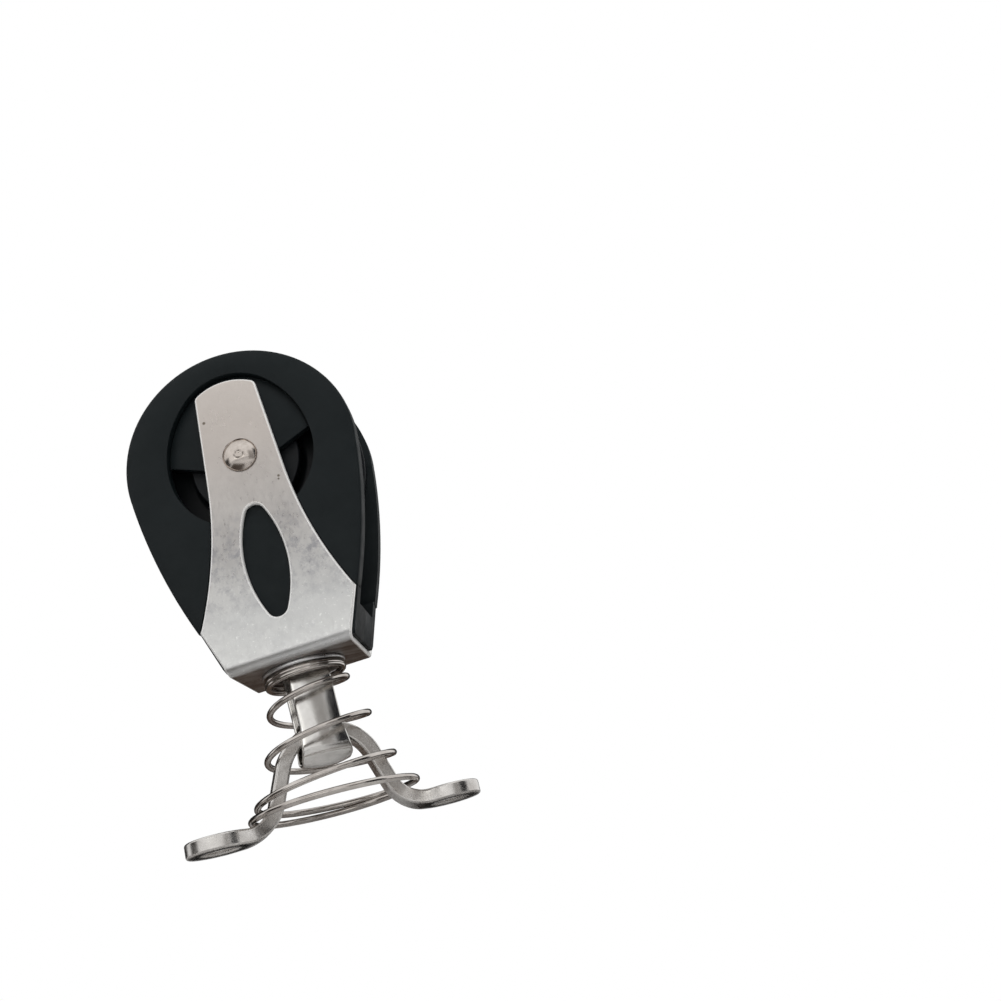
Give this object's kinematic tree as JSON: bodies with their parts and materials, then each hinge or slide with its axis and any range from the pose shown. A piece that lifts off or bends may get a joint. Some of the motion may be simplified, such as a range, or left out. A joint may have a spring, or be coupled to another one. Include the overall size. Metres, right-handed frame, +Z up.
{
  "type": "swivel block",
  "caption": "Spring-supported stand-up swivel block: a grooved sheave between two cheeks and a steel strap, swivelling on a link that hangs on a bowed deck saddle.",
  "frame": {"origin": "on the deck plane, midway between the two screw holes of the saddle, under the swivel", "axes": "+Z up along the post to the sheave, +X along the saddle through its screw holes, +Y completes the frame; the block stands turned 24.5 degrees about the post and leans 2.6 degrees along the bow, as in the picture"},
  "size_m": [0.0723, 0.0484, 0.1245],
  "materials": {
    "polished_steel": "polished stainless steel",
    "satin_steel": "satin stainless sheet",
    "spring_steel": "drawn stainless wire",
    "black_shell": "moulded, matte",
    "black_sheave": "moulded, smooth",
    "red_washer": "smooth plastic"
  },
  "bodies": {
    "base": {"saddle": "polished_steel", "spring": "spring_steel"},
    "link": {"swivel_link": "polished_steel", "swivel_post": "polished_steel", "seat_washer": "satin_steel"},
    "head": {"strap": "satin_steel", "front_shell": "black_shell", "rear_shell": "black_shell", "axle_rivet": "polished_steel", "axle_sleeve": "polished_steel", "thrust_washer": "red_washer"},
    "wheel": {"sheave": "black_sheave"}
  },
  "joints": [
    {"name": "link_tilt", "type": "hinge", "parent": "base", "child": "link", "pos_m": [-0.0005, 0, 0.02249], "axis": [0.999, 0, 0.0454], "range_deg": [-14, 14], "stiffness_Nm_per_rad": 1.5, "deforming": ["spring"]},
    {"name": "block_swivel", "type": "hinge", "parent": "link", "child": "head", "pos_m": [-0.00128, 0, 0.03957], "axis": [-0.0454, 0, 0.999], "continuous": true},
    {"name": "sheave_spin", "type": "hinge", "parent": "head", "child": "wheel", "pos_m": [-0.00376, 0, 0.09431], "axis": [0.4143, 0.91, 0.0188], "continuous": true}
  ]
}
